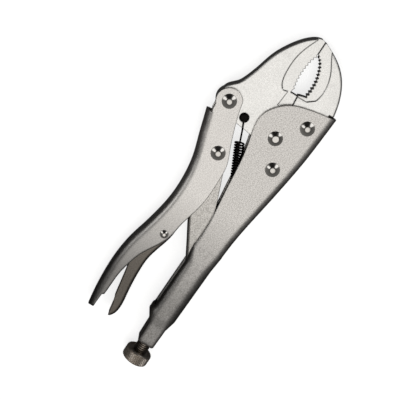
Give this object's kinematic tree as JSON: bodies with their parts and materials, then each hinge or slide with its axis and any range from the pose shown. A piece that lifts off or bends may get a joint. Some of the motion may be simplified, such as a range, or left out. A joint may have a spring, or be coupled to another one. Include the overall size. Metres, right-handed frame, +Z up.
{
  "type": "locking pliers",
  "caption": "Over-centre locking pliers with curved toothed jaws, folded steel handles, a release lever and a knurled adjusting screw.",
  "frame": {"origin": "middle of the underside of the bounding box of the closed tool lying flat on its side", "axes": "+X towards the jaws along the tool, +Y towards the moving handle, +Z up across the jaws' thickness"},
  "size_m": [0.2515, 0.0744, 0.019],
  "materials": {
    "handle_steel": "satin nickel plate over pressed steel",
    "jaw_steel": "satin nickel plate over forged steel",
    "rivet_steel": "polished",
    "screw_steel": "dark oiled",
    "spring_steel": "black oxide"
  },
  "bodies": {
    "fixed_handle": {"fixed_handle": "handle_steel", "fixed_jaw": "jaw_steel", "tension_spring": "spring_steel", "jaw_pivot_rivet": "rivet_steel", "fixed_jaw_rivet_front": "rivet_steel", "fixed_jaw_rivet_rear": "rivet_steel"},
    "moving_jaw": {"moving_jaw": "jaw_steel", "handle_rivet": "rivet_steel"},
    "moving_handle": {"moving_handle": "handle_steel", "link_rivet": "rivet_steel", "lever_rivet": "rivet_steel"},
    "toggle_link": {"toggle_link": "handle_steel"},
    "release_lever": {"release_lever": "handle_steel"},
    "adjusting_screw": {"adjusting_screw": "screw_steel"},
    "screw_knob": {"screw_knob": "screw_steel"}
  },
  "joints": [
    {"name": "jaw_pivot", "type": "hinge", "parent": "fixed_handle", "child": "moving_jaw", "pos_m": [0.05804, -0.01004, 0.0095], "axis": [0, 0, 1], "range_deg": [0, 18], "deforming": ["tension_spring"]},
    {"name": "handle_pivot", "type": "hinge", "parent": "moving_jaw", "child": "moving_handle", "pos_m": [0.06264, 0.02766, 0.0095], "axis": [0, 0, 1], "range_deg": [-58.02, 0]},
    {"name": "link_pivot", "type": "hinge", "parent": "moving_handle", "child": "toggle_link", "pos_m": [0.03064, 0.01556, 0.0095], "axis": [0, 0, 1], "range_deg": [0, 56.43]},
    {"name": "lever_pivot", "type": "hinge", "parent": "moving_handle", "child": "release_lever", "pos_m": [-0.03446, 0.01586, 0.0095], "axis": [0, 0, 1], "range_deg": [-6, 0]},
    {"name": "screw_feed", "type": "slide", "parent": "fixed_handle", "child": "adjusting_screw", "axis": [-1, 0, 0], "range_m": [0, 0.024]},
    {"name": "knob_turn", "type": "hinge", "parent": "adjusting_screw", "child": "screw_knob", "pos_m": [-0.11996, -0.01514, 0.0095], "axis": [-1, 0, 0], "range_deg": [-5761, 0]}
  ],
  "couplings": [
    {"joint": "handle_pivot", "follows": "jaw_pivot", "ratio": -3.2179},
    {"joint": "link_pivot", "follows": "jaw_pivot", "ratio": 3.1295},
    {"joint": "knob_turn", "follows": "screw_feed", "rad_per_m": -4188.8}
  ]
}
